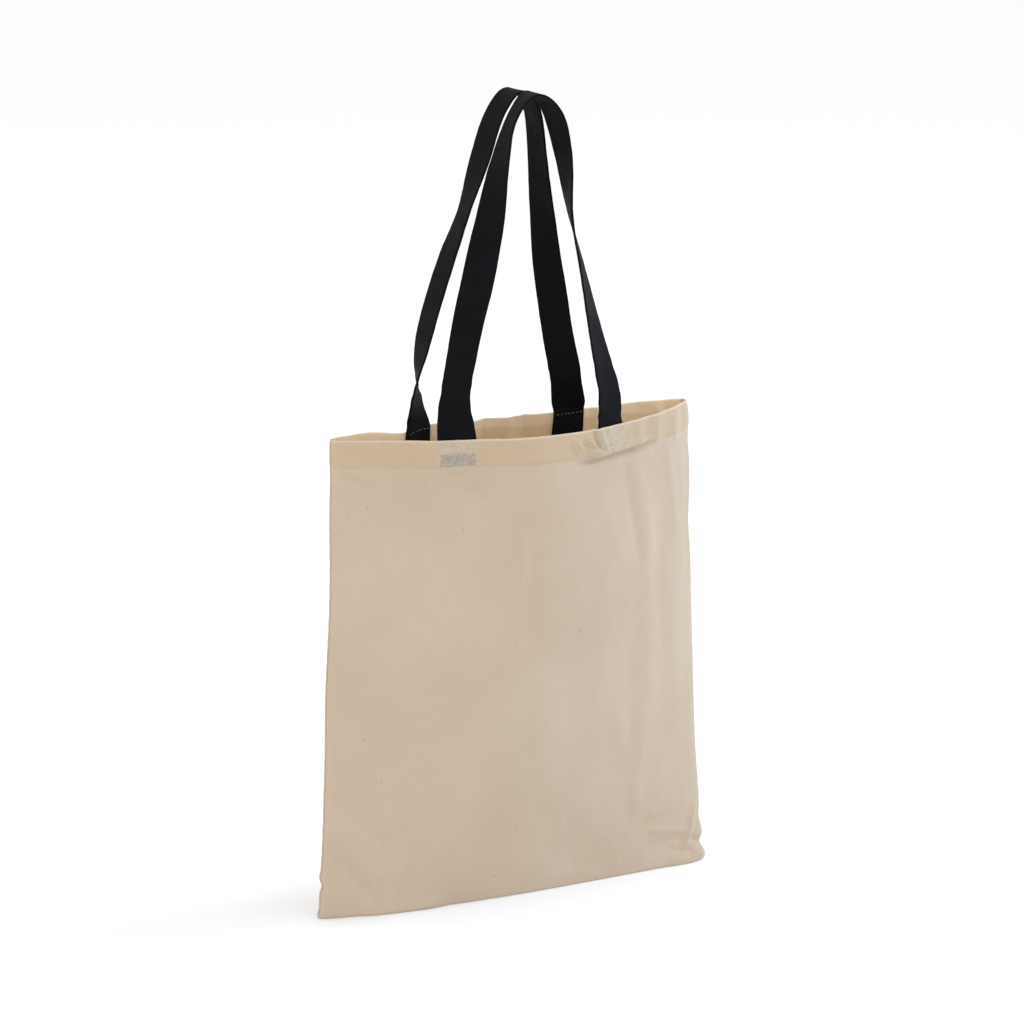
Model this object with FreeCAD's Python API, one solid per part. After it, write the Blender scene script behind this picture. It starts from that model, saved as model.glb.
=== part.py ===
import FreeCAD, Part
import math
import os

# A flat-made cotton canvas tote bag with two long webbing handles, standing open.
# X runs across the bag, -Y is its front, +Z is up, and the origin is on the floor
# under the middle of the bag, on the underside of its base. Millimetres throughout.

# Driving dimensions
BAG_HEIGHT = 420.0          # floor to mouth
BASE_HALF_WIDTH = 190.0     # half of the flat bag's width
MOUTH_HALF_WIDTH = 176.5    # the open mouth draws the sides in
CLOTH = 1.0                 # panel wall, with the crimp and nap of the canvas
HEM_DEPTH = 25.0            # how far the turned mouth edge reaches down
HEM_CLOTH = 1.4             # two turned layers
STRAP_WIDTH = 32.0
STRAP_THICKNESS = 2.0
SEAM_WIDTH = 10.0           # raw edges turned inside the bag
SEAM_THICKNESS = 1.6
CLEARANCE = 0.05            # air between layers that lie on each other
HEM_INSET = 4.0             # the hem's doubled cloth stops short of the side seams

# The side seam's raw edges inside the bag
SIDE_SEAM_GAP = 3.0         # in from the side of the bag
SIDE_SEAM_LOW = 13.5        # above the bottom seam
SIDE_SEAM_HIGH = BAG_HEIGHT - HEM_DEPTH - 1.0
BOTTOM_SEAM_HALF = BASE_HALF_WIDTH - 6.0

# How far each panel stands out from the line that joins the two side seams
SIDE_ROLL = 6.0             # the cloth rolls round the side seams by this much
ROLL_POWER = 16
FRONT_BULGE_BASE = 12.0
FRONT_BULGE_MOUTH = 66.0
FRONT_BULGE_POWER = 2.2
BACK_BULGE_BASE = 8.0
BACK_BULGE_MOUTH = 5.0
BACK_BULGE_BELLY = 18.0
FRONT_SKEW_BASE = -0.5      # the bulge leans to one side at the base,
FRONT_SKEW_MOUTH = 0.12     # and a little to the other at the mouth
SIDE_DRAW_POWER = 2.5

# Where the side seams stand, front to back
SEAM_Y_BASE = 1.5
SEAM_Y_MOUTH = 3.5
SEAM_Y_TURN = 7.5           # the right seam further back at the mouth, the left further forward

# Strap ends: the middle of each along X
FRONT_END_X = (-82.0, 63.0)
BACK_END_X = (-90.5, 60.0)
SEWN_DEPTH = 24.0           # length of strap sewn down inside the hem
END_MARGIN = 2.0            # the stitched box inside the strap's edges
END_DEPTH = CLOTH + HEM_CLOTH + 3 * CLEARANCE

# Sewing thread
THREAD = 0.4
STITCH_LENGTH = 2.4
STITCH_PITCH = 3.6
STITCH_LIFT = THREAD / 2 + CLEARANCE + 0.1      # a stitch's middle above flat cloth
HEM_STITCH_INSET = 6.0      # the row stops short of the side seams
OVERLOCK_PITCH = 6.0
OVERLOCK_LENGTH = 5.0
OVERLOCK_INSET = 0.5        # the passes reach over the raw edge by this much
OVERLOCK_LIFT = SEAM_THICKNESS / 2 + STITCH_LIFT
SIDE_OVERLOCK_LOW = 17.0
SIDE_OVERLOCK_HIGH = BAG_HEIGHT - HEM_DEPTH - 5.0
BOTTOM_OVERLOCK_HALF = BASE_HALF_WIDTH - 25.0

# Free loops of the handles: points up one leg, over the top and down the other, each
# with the direction of the strap's width, in degrees from +X as seen from above
FRONT_LOOP = [
    (-82, -49.5, 425, -30), (-81.5, -46.5, 452, -66), (-71, -41, 493, -66),
    (-55, -35, 544, -58), (-40, -29, 595, -68), (-26, -23, 646, -90),
    (-13, -18.5, 681, -104), (8, -17, 703, -98), (27, -18.5, 684, -84),
    (35, -24, 645, -91), (37, -32, 598, -112), (45, -40, 548, -125),
    (55, -48.5, 486, -140), (62, -54, 450, -150), (63, -55.5, 425, -156),
]
BACK_LOOP = [
    (-90.5, 6.5, 425, 30), (-91.5, 5.5, 454, 58), (-86, 6.5, 488, 84),
    (-73.5, 8, 528, 89), (-58, 10, 567, 86), (-42, 12, 603, 78),
    (-27, 14, 642, 92), (-11, 16, 681, 93), (8, 17, 702, 91),
    (25, 17, 686, 89), (30, 16, 644, 93), (34, 14.5, 600, 102),
    (40, 13, 540, 115), (49, 12.5, 486, 120), (57, 13, 450, 132), (60, 13.5, 425, 168),
]
STATIONS_PER_SPAN = 4

PANEL_COLUMNS = 25
PANEL_ROWS = 10
HEM_ROWS = 4
STRAP_END_COLUMNS = 7

os.makedirs("parts", exist_ok=True)


def save(name, solids):
    """Write one node, as one solid or as a group of them."""
    shape = solids[0] if len(solids) == 1 else Part.makeCompound(solids)
    bad = [solid for solid in solids if not solid.isValid()]
    print(name, "solids", len(solids), "volume", round(shape.Volume, 1), "bad", len(bad))
    shape.exportStep("parts/%s.step" % name)


def half_width(z):
    """Half the distance between the side seams at a height."""
    drawn_in = BASE_HALF_WIDTH - MOUTH_HALF_WIDTH
    return MOUTH_HALF_WIDTH + drawn_in * (1 - z / BAG_HEIGHT) ** SIDE_DRAW_POWER


def seam_line(xi, z):
    """Y of the straight line between the two side seams; xi runs from -1 to 1 across."""
    up = z / BAG_HEIGHT
    return SEAM_Y_BASE * (1 - up) + up * (SEAM_Y_MOUTH + SEAM_Y_TURN * xi)


def bulge(side, xi, z):
    """How far the inner face of a panel stands out from the seam line."""
    up = z / BAG_HEIGHT
    if side < 0:
        fade = (1 - up) ** FRONT_BULGE_POWER
        swell = FRONT_BULGE_MOUTH - (FRONT_BULGE_MOUTH - FRONT_BULGE_BASE) * fade
        skew = FRONT_SKEW_BASE * fade + FRONT_SKEW_MOUTH * (1 - fade)
    else:
        swell = BACK_BULGE_BASE + (BACK_BULGE_MOUTH - BACK_BULGE_BASE) * up
        swell += BACK_BULGE_BELLY * 4 * up * (1 - up)
        skew = 0.0
    roll = SIDE_ROLL * (1 - abs(xi) ** ROLL_POWER)
    return roll + swell * math.cos(math.pi / 2 * xi) * (1 + skew * xi)


def wall_y(side, x, z, depth):
    """Y at a depth inside a panel's outer face. Side is -1 for the front, 1 for the back."""
    xi = max(-1.0, min(1.0, x / half_width(z)))
    reach = bulge(side, xi, z) + CLEARANCE + CLOTH - depth
    return seam_line(xi, z) + side * reach


def wall_angle(side, x, z):
    """Direction of a panel's surface across the bag, in degrees from +X."""
    step = 1.0
    rise = wall_y(side, x + step, z, 0) - wall_y(side, x - step, z, 0)
    return math.degrees(math.atan2(rise, 2 * step))


def spaced(low, high, count):
    """Evenly spaced values from low to high, both included."""
    return [low + (high - low) * i / (count - 1) for i in range(count)]


def cloth_layer(side, left, right, z_low, z_high, depth, thickness, columns, rows):
    """A layer that follows a panel. left and right give its edges in X at a height."""
    grid = []
    for z in spaced(z_low, z_high, rows):
        across = spaced(left(z), right(z), columns)
        grid.append([FreeCAD.Vector(x, wall_y(side, x, z, depth), z) for x in across])
    surface = Part.BSplineSurface()
    surface.interpolate(grid)
    return surface.toShape().extrude(FreeCAD.Vector(0, -side * thickness, 0))


def panel(side):
    """A front or back panel: its wall, and the part of it that turns under to the seam."""
    wall = cloth_layer(side, lambda z: -half_width(z), half_width, 0, BAG_HEIGHT, 0, CLOTH,
                       PANEL_COLUMNS, PANEL_ROWS)
    across = spaced(-BASE_HALF_WIDTH, BASE_HALF_WIDTH, PANEL_COLUMNS)
    edge = Part.BSplineCurve()
    edge.interpolate([FreeCAD.Vector(x, wall_y(side, x, 0, CLOTH / 2), 0) for x in across])
    left = edge.StartPoint
    right = edge.EndPoint
    inner_y = SEAM_Y_BASE + side * CLEARANCE
    seam_left = FreeCAD.Vector(left.x, inner_y, 0)
    seam_right = FreeCAD.Vector(right.x, inner_y, 0)
    outline = Part.Wire([
        edge.toShape(),
        Part.makeLine(right, seam_right),
        Part.makeLine(seam_right, seam_left),
        Part.makeLine(seam_left, left),
    ])
    under = Part.Face(outline).extrude(FreeCAD.Vector(0, 0, CLOTH))
    return wall.fuse(under).Solids[0]


def hem(side):
    """The mouth edge, turned down twice inside the panel."""
    return cloth_layer(side, lambda z: HEM_INSET - half_width(z),
                       lambda z: half_width(z) - HEM_INSET, BAG_HEIGHT - HEM_DEPTH, BAG_HEIGHT,
                       CLOTH + CLEARANCE, HEM_CLOTH, PANEL_COLUMNS, HEM_ROWS)


def strap_end(side, middle_x):
    """The end of a strap, sewn flat on the inside of the hem."""
    half = STRAP_WIDTH / 2
    return cloth_layer(side, lambda z: middle_x - half, lambda z: middle_x + half,
                       BAG_HEIGHT - SEWN_DEPTH, BAG_HEIGHT, END_DEPTH, STRAP_THICKNESS,
                       STRAP_END_COLUMNS, HEM_ROWS)


def smooth(points, position):
    """A point on the smooth line through a list of points, by its place in the list."""
    index = min(int(position), len(points) - 2)
    t = position - index
    p0 = points[max(index - 1, 0)]
    p1 = points[index]
    p2 = points[index + 1]
    p3 = points[min(index + 2, len(points) - 1)]
    out = []
    for a, b, c, d in zip(p0, p1, p2, p3):
        cubic = -a + 3 * b - 3 * c + d
        square = 2 * a - 5 * b + 4 * c - d
        out.append(0.5 * (2 * b + (c - a) * t + square * t ** 2 + cubic * t ** 3))
    return out


def strap_section(points, position):
    """The strap's rectangular section at a place along its loop."""
    step = 0.02
    x, y, z, angle = smooth(points, position)
    before = FreeCAD.Vector(*smooth(points, max(position - step, 0))[:3])
    after = FreeCAD.Vector(*smooth(points, min(position + step, len(points) - 1))[:3])
    along = (after - before).normalize()
    turn = math.radians(angle)
    across = FreeCAD.Vector(math.cos(turn), math.sin(turn), 0)
    across = (across - along * across.dot(along)).normalize() * (STRAP_WIDTH / 2)
    face = along.cross(across).normalize() * (STRAP_THICKNESS / 2)
    centre = FreeCAD.Vector(x, y, z)
    corners = [centre + across + face, centre - across + face,
               centre - across - face, centre + across - face]
    return Part.makePolygon(corners + corners[:1])


def strap_loop(points):
    """The free loop of a handle, twisting from flat on the hem to flat at the top."""
    count = (len(points) - 1) * STATIONS_PER_SPAN + 1
    places = spaced(0, len(points) - 1, count)
    return Part.makeLoft([strap_section(points, place) for place in places], True, True)


def stitch(side, x, z, depth, length, slope):
    """One stitch lying on a panel, slope degrees up from level."""
    box = Part.makeBox(length, THREAD, THREAD)
    box.translate(FreeCAD.Vector(-length / 2, -THREAD / 2, -THREAD / 2))
    box.rotate(FreeCAD.Vector(0, 0, 0), FreeCAD.Vector(0, 1, 0), -slope)
    box.rotate(FreeCAD.Vector(0, 0, 0), FreeCAD.Vector(0, 0, 1), wall_angle(side, x, z))
    box.translate(FreeCAD.Vector(x, wall_y(side, x, z, depth), z))
    return box


def hem_stitches(side):
    """The row that holds the hem's lower fold, on the outside of the panel."""
    z = BAG_HEIGHT - HEM_DEPTH + END_MARGIN
    reach = half_width(z) - HEM_STITCH_INSET
    count = int(2 * reach / STITCH_PITCH)
    places = spaced(-reach, reach, count)
    return [stitch(side, x, z, -STITCH_LIFT, STITCH_LENGTH, 0) for x in places]


def end_stitches(side, middle_x, depth):
    """A stitched box with a cross in it, on one face of a sewn strap end."""
    half = STRAP_WIDTH / 2 - END_MARGIN
    low = BAG_HEIGHT - SEWN_DEPTH + 2 * END_MARGIN
    high = BAG_HEIGHT - END_MARGIN
    left = middle_x - half
    right = middle_x + half
    rows = [((left, low), (right, low)), ((left, high), (right, high)),
            ((left, low), (left, high)), ((right, low), (right, high)),
            ((left, low), (right, high)), ((left, high), (right, low))]
    solids = []
    for row, ((x0, z0), (x1, z1)) in enumerate(rows):
        run = math.hypot(x1 - x0, z1 - z0)
        slope = math.degrees(math.atan2(z1 - z0, x1 - x0))
        count = int(run / STITCH_PITCH)
        for i in range(count):
            share = (i + 0.5) / count
            crosses = row == len(rows) - 1 and abs(share - 0.5) < STITCH_LENGTH / run
            if not crosses:
                x = x0 + (x1 - x0) * share
                z = z0 + (z1 - z0) * share
                solids.append(stitch(side, x, z, depth, STITCH_LENGTH, slope))
    return solids


def side_seam(hand):
    """The raw edges of a side seam, turned inside the bag. hand is -1 left, 1 right."""
    sections = []
    for z in spaced(SIDE_SEAM_LOW, SIDE_SEAM_HIGH, PANEL_ROWS):
        outer = hand * (half_width(z) - SIDE_SEAM_GAP)
        inner = hand * (half_width(z) - SIDE_SEAM_GAP - SEAM_WIDTH)
        y = seam_line(hand, z)
        half = SEAM_THICKNESS / 2
        corners = [FreeCAD.Vector(outer, y - half, z), FreeCAD.Vector(inner, y - half, z),
                   FreeCAD.Vector(inner, y + half, z), FreeCAD.Vector(outer, y + half, z)]
        sections.append(Part.makePolygon(corners + corners[:1]))
    return Part.makeLoft(sections, True, True)


def bottom_seam():
    """The raw edges of the bottom seam, standing up inside the bag."""
    front = SEAM_Y_BASE - SEAM_THICKNESS / 2
    corner = FreeCAD.Vector(-BOTTOM_SEAM_HALF, front, CLOTH + CLEARANCE)
    return Part.makeBox(2 * BOTTOM_SEAM_HALF, SEAM_THICKNESS, SEAM_WIDTH, corner)


def overlock(places, direction):
    """Thread passes over a raw edge. places are (x, y, z) on the edge's face."""
    solids = []
    for x, y, z in places:
        length = OVERLOCK_LENGTH
        if direction == "level":
            box = Part.makeBox(length, THREAD, THREAD)
            box.translate(FreeCAD.Vector(x - length / 2, y - THREAD / 2, z - THREAD / 2))
        else:
            box = Part.makeBox(THREAD, THREAD, length)
            box.translate(FreeCAD.Vector(x - THREAD / 2, y - THREAD / 2, z - length / 2))
        solids.append(box)
    return solids


def side_overlock(hand):
    """Overlock thread on both faces of a side seam's raw edge."""
    raw_edge = SIDE_SEAM_GAP + SEAM_WIDTH - OVERLOCK_INSET
    count = int((SIDE_OVERLOCK_HIGH - SIDE_OVERLOCK_LOW) / OVERLOCK_PITCH)
    places = []
    for z in spaced(SIDE_OVERLOCK_LOW, SIDE_OVERLOCK_HIGH, count):
        x = hand * (half_width(z) - raw_edge + OVERLOCK_LENGTH / 2)
        for face in (-OVERLOCK_LIFT, OVERLOCK_LIFT):
            places.append((x, seam_line(hand, z) + face, z))
    return overlock(places, "level")


def bottom_overlock():
    """Overlock thread on both faces of the bottom seam's raw edge."""
    z = CLOTH + SEAM_WIDTH - OVERLOCK_LENGTH / 2
    count = int(2 * BOTTOM_OVERLOCK_HALF / OVERLOCK_PITCH)
    places = []
    for x in spaced(-BOTTOM_OVERLOCK_HALF, BOTTOM_OVERLOCK_HALF, count):
        for face in (-OVERLOCK_LIFT, OVERLOCK_LIFT):
            places.append((x, SEAM_Y_BASE + face, z))
    return overlock(places, "upright")


FRONT = -1
BACK = 1
LEFT = -1
RIGHT = 1

save("front_panel", [panel(FRONT)])
save("back_panel", [panel(BACK)])
save("front_hem", [hem(FRONT)])
save("back_hem", [hem(BACK)])
save("left_side_seam", [side_seam(LEFT)])
save("right_side_seam", [side_seam(RIGHT)])
save("bottom_seam", [bottom_seam()])

for name, side, ends in (("front", FRONT, FRONT_END_X), ("back", BACK, BACK_END_X)):
    save(name + "_strap_end_left", [strap_end(side, ends[0])])
    save(name + "_strap_end_right", [strap_end(side, ends[1])])
    solids = []
    for middle_x in ends:
        solids += end_stitches(side, middle_x, -STITCH_LIFT)
        solids += end_stitches(side, middle_x, END_DEPTH + STRAP_THICKNESS + STITCH_LIFT)
    save(name + "_strap_stitches", solids)
    save(name + "_hem_stitches", hem_stitches(side))

save("left_overlock_thread", side_overlock(LEFT))
save("right_overlock_thread", side_overlock(RIGHT))
save("bottom_overlock_thread", bottom_overlock())

save("front_handle_loop", [strap_loop(FRONT_LOOP)])
save("back_handle_loop", [strap_loop(BACK_LOOP)])
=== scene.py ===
import math

import bpy
import numpy as np
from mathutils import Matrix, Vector


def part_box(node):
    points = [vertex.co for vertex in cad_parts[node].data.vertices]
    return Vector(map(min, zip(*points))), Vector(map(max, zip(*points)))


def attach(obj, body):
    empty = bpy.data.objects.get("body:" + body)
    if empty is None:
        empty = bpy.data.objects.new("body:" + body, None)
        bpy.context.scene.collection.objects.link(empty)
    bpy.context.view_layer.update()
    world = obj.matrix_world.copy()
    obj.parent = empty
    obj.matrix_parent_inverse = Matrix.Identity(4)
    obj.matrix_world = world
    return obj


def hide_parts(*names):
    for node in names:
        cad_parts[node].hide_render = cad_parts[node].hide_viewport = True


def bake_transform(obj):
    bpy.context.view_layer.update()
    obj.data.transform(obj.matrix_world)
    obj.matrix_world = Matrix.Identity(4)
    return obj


# The looks of a cotton tote bag with two black handles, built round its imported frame.
# Lengths are millimetres until a mesh is made; +X right, -Y front, +Z up.

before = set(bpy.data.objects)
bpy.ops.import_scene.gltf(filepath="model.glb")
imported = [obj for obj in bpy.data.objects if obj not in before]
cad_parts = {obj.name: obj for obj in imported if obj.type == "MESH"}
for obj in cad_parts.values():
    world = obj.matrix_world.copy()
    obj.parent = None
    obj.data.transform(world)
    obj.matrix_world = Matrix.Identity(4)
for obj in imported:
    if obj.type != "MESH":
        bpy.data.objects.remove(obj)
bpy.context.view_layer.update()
MM = 0.001

# Sizes that come from the frame
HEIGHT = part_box("front_panel")[1].z / MM
BASE_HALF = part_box("front_panel")[1].x / MM
HEM_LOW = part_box("front_hem")[0].z / MM
SEWN_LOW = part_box("front_strap_end_left")[0].z / MM
STRAP_WIDTH = (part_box("front_strap_end_left")[1].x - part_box("front_strap_end_left")[0].x) / MM


def middle_x(node):
    low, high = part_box(node)
    return (low.x + high.x) / 2 / MM


FRONT, BACK = -1, 1
END_X = {FRONT: (middle_x("front_strap_end_left"), middle_x("front_strap_end_right")),
         BACK: (middle_x("back_strap_end_left"), middle_x("back_strap_end_right"))}

# The bag's standing shape, the same rules as the frame's panels
MOUTH_HALF = 176.5
CLOTH = 0.6                 # thickness of the canvas
RIM_RADIUS = 0.95           # where the cloth turns over the mouth
STRAP_THICKNESS = 1.8
STRAP_DEPTH = 2.1           # from the canvas' outer face to the sewn strap
FLOOR_EDGE = 2.4            # radius where the wall turns under
UNDER_LIFT = 0.15           # lowest cloth above the floor
SEAM_Y_BASE = 1.5           # y of the bottom seam
THREAD_RADIUS = 0.24
BOX_THREAD_RADIUS = 0.19
OVERLOCK_RADIUS = 0.2
STITCH_PITCH = 3.6
STITCH_LENGTH = 2.5
INNER_STITCH_LENGTH = 1.5
BOX_MARGIN = 2.0            # from a strap's edge to the stitching near it
SEAM_WIDTH = 10.0           # seam allowances
SEAM_INSET = 3.2            # from the bag's side to the side allowances
BOTTOM_SEAM_LOW = 1.2
SEAM_CLOTH = 1.1            # both layers of a seam allowance
OVERLOCK_PITCH = 6.0
OVERLOCK_REACH = 4.8        # how far an overlock pass reaches onto the allowance
SECTION_FLAT = 19           # points across one face of a strap
SEWN_STATIONS = 26          # stations along a strap that belong to each sewn end
STATION_STEP = 1.9          # length of strap between two stations

# Free loops of the handles, the frame's own routes: points up one leg, over the top and down
# the other, each x, y, z and the angle of the strap's width from +X, seen from above
FRONT_LOOP = [
    (-82, -49.5, 425, -30), (-81.5, -46.5, 452, -66), (-71, -41, 493, -66),
    (-55, -35, 544, -58), (-40, -29, 595, -68), (-26, -23, 646, -90),
    (-13, -18.5, 681, -104), (8, -17, 703, -98), (27, -18.5, 684, -84),
    (35, -24, 645, -91), (37, -32, 598, -112), (45, -40, 548, -125),
    (55, -48.5, 486, -140), (62, -54, 450, -150), (63, -55.5, 425, -156),
]
BACK_LOOP = [
    (-90.5, 6.5, 425, 30), (-91.5, 5.5, 454, 58), (-86, 6.5, 488, 84),
    (-73.5, 8, 528, 89), (-58, 10, 567, 86), (-42, 12, 603, 78),
    (-27, 14, 642, 92), (-11, 16, 681, 93), (8, 17, 702, 91),
    (25, 17, 686, 89), (30, 16, 644, 93), (34, 14.5, 600, 102),
    (40, 13, 540, 115), (49, 12.5, 486, 120), (57, 13, 450, 132), (60, 13.5, 425, 168),
]


# ---------------------------------------------------------------- shape rules

def ease(t):
    t = np.clip(t, 0, 1)
    return t * t * (3 - 2 * t)


def bump(value, centre, width):
    return np.exp(-((value - centre) / width) ** 2)


def half_width(z):
    """Half the bag's width between its side seams at a height."""
    up = np.clip(z / HEIGHT, 0, 1)
    return MOUTH_HALF + (BASE_HALF - MOUTH_HALF) * (1 - up) ** 2.5


def edge_shift(hand, z):
    """How far outward the side of the bag strays from its plain line."""
    if hand < 0:
        shift = -1.9 * bump(z, 28.5, 3.6) + 0.9 * bump(z, 37, 5) + 0.6 * bump(z, 408, 14)
        shift = shift + 0.9 * bump(z, 350, 40) + 2.7 * bump(z, 195, 62) + 0.6 * bump(z, 110, 30)
        shift = shift - 1.5 * bump(z, 9, 9)
    else:
        shift = -3.5 * bump(z, 424, 12) - 1.6 * bump(z, 386, 16) - 1.8 * bump(z, 312, 20)
        shift = shift - 2.6 * bump(z, 17, 4.6) + 0.9 * bump(z, 28, 5) - 1.6 * bump(z, 43, 8)
        shift = shift + 2.2 * bump(z, 5, 6) - 1.0 * bump(z, 118, 45)
    return shift


def seam_y(hand, z):
    """Y of a side seam."""
    up = np.clip(z / HEIGHT, 0, 1)
    return SEAM_Y_BASE * (1 - up) + up * (3.5 + 7.5 * hand)


def seam_line(xi, z):
    """Y of the line between the side seams, drawn towards the front beside the left seam."""
    straight = seam_y(xi, z)
    left = ease((-xi - 0.93) / 0.07)
    return straight - 2.6 * left * ease(z / 30)


def bulge(side, xi, z):
    """How far a panel stands out from the line between the side seams."""
    up = np.clip(z / HEIGHT, 0, 1)
    if side == FRONT:
        fade = (1 - up) ** 2.2
        swell = 66 - 54 * fade
        skew = -0.5 * fade + 0.12 * (1 - fade)
    else:
        swell = 8 - 3 * up + 72 * up * (1 - up)
        skew = 0.0
    roll = 6 * np.sqrt(np.clip(1 - np.abs(xi) ** 16, 0, 1))
    return roll + swell * np.cos(np.pi / 2 * xi) * (1 + skew * xi)


def fold(x, z, start, end, width, height, power=2.0):
    """Height of a soft ridge along a line, fading at its two ends."""
    dx, dz = end[0] - start[0], end[1] - start[1]
    length = math.hypot(dx, dz)
    t = ((x - start[0]) * dx + (z - start[1]) * dz) / length ** 2
    away = ((x - start[0]) * dz - (z - start[1]) * dx) / length
    ends = ease((t + 0.2) / 0.4) * ease((1.2 - t) / 0.4)
    return height * ends * np.exp(-np.abs(away / width) ** power)


def ripples(x, z, seed, height, length, tilt):
    """Slow waves in the cloth, running mostly up and down."""
    random = np.random.default_rng(seed)
    total = 0
    for _ in range(8):
        angle = random.uniform(-tilt, tilt)
        wave = 2 * np.pi / (length * random.uniform(0.6, 1.7))
        phase = random.uniform(0, 2 * np.pi)
        total = total + np.sin(wave * (x * math.cos(angle) + z * math.sin(angle)) + phase)
    return height * total / math.sqrt(8)


# Folds on each panel: start, end, width, height and how sharp, in the panel's own x and z
FRONT_FOLDS = [
    # across the hem, right of the right strap
    ((97, 421), (95, 397), 4.5, 1.1, 2), ((110, 421), (107, 397), 5, -1.0, 2),
    ((123, 421), (120, 394), 4.5, 1.2, 2), ((136, 421), (134, 392), 5.5, -0.9, 2),
    ((150, 421), (149, 388), 5, 1.1, 2), ((163, 418), (163, 388), 5, -0.5, 2),
    # puckers at the left side of the right strap's end
    ((42, 421), (49, 400), 2.0, -2.2, 1.5), ((47, 420), (56, 398), 1.9, 2.6, 1.3),
    ((22, 413), (30, 402), 2.0, 1.7, 1.4), ((16, 411), (25, 400), 3, -1.1, 2),
    ((33, 414), (50, 400), 1.9, 2.2, 1.3), ((34, 404), (53, 397), 2.0, 2.6, 1.4),
    ((30, 409), (44, 401), 2.0, -1.2, 1.6),
    # the hem stands off below the right strap's end
    ((42, 397.6), (108, 400.6), 3.0, 2.8, 1.8), ((34, 392.8), (114, 395.2), 2.2, -3.4, 1.5),
    ((60, 386), (118, 388), 6, 0.9, 2), ((22, 392), (44, 394), 3.2, -1.0, 2),
    # left strap's end
    ((-100, 414), (-99, 398), 2.2, -0.7, 1.6), ((-64, 414), (-63, 396), 2.4, -0.6, 1.6),
    ((-97, 394.5), (-66, 394.0), 2.4, -0.8, 2), ((-94, 384), (-62, 362), 10, 2.4, 2),
    ((-100, 426), (-98, 376), 11, 2.2, 2), ((-58, 426), (-60, 376), 11, -2.2, 2),
    ((-60, 388), (-48, 356), 9, -1.2, 2), ((-120, 388), (-98, 374), 8, 1.1, 2),
    # under the hem at the left side
    ((-172, 389), (-150, 377), 5.0, 3.2, 1.8), ((-173, 380), (-150, 367), 5.0, -1.2, 2),
    ((-146, 392), (-126, 386), 4, 0.7, 2), ((-168, 414), (-166, 398), 4, 0.5, 2),
    # long soft folds down the right half
    ((-26, 345), (-30, 248), 5, 1.2, 2), ((-16, 340), (-18, 235), 6, -1.0, 2),
    ((78, 384), (100, 300), 8, -1.7, 2), ((92, 384), (116, 296), 10, 1.2, 2),
    ((108, 325), (120, 150), 10, 1.0, 2), ((124, 330), (138, 165), 10, -1.0, 2),
    ((48, 372), (76, 300), 9, 1.2, 2), ((60, 305), (60, 175), 12, 1.0, 2),
    ((138, 384), (154, 300), 7, 1.4, 2), ((150, 250), (158, 120), 9, 1.0, 2),
    ((20, 240), (34, 110), 12, -0.9, 2), ((96, 240), (92, 100), 12, -0.9, 2),
    ((168, 385), (171, 255), 5, -0.8, 2), ((80, 160), (110, 70), 9, 0.9, 2),
    ((113, 150), (112, 50), 7, 0.9, 2), ((100, 150), (98, 60), 8, -0.7, 2),
    ((30, 75), (28, 52), 4, 0.6, 2), ((140, 110), (132, 60), 8, 0.7, 2),
    # lower right: a little star of creases and the pulled corner
    ((128, 39), (170, 31), 2.4, 1.9, 1.4), ((130, 30), (160, 39), 2.2, 1.4, 1.4),
    ((134, 24), (172, 25), 3.4, -1.0, 1.8), ((120, 46), (160, 48), 4.0, -0.7, 1.8),
    ((179, 52), (169, 15), 2.6, 2.0, 1.4), ((172, 50), (161, 20), 3.4, -0.9, 1.8),
    ((148, 17), (178, 11), 3.4, -1.2, 1.8), ((154, 6), (178, 3), 5, 2.2, 2),
    ((174, 24), (187, 18), 2.8, -2.2, 1.6), ((100, 60), (130, 42), 7, -0.6, 2),
    ((176, 9), (188, 7), 4.2, 2.0, 1.8),
    # lower left: the nipped side and a shallow dent over a fuller bottom edge
    ((-190, 29), (-178, 33), 2.0, -0.9, 1.5), ((-186, 36), (-172, 42), 3.2, 0.5, 1.8),
    ((-184, 22), (-168, 27), 3.6, 0.5, 1.8), ((-172, 60), (-134, 16), 7, -4.2, 2),
    ((-164, 90), (-116, 36), 9, 4.2, 2), ((-182, 14), (-160, 8), 4, -0.5, 2),
    ((-160, 110), (-146, 80), 9, -0.9, 2),
    ((-150, -4), (-84, -4), 21, 4.6, 2), ((10, 16), (80, 10), 6, 0.5, 2),
    ((-150, 300), (-144, 180), 16, 0.9, 2), ((-100, 250), (-88, 120), 18, -0.7, 2),
]
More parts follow.
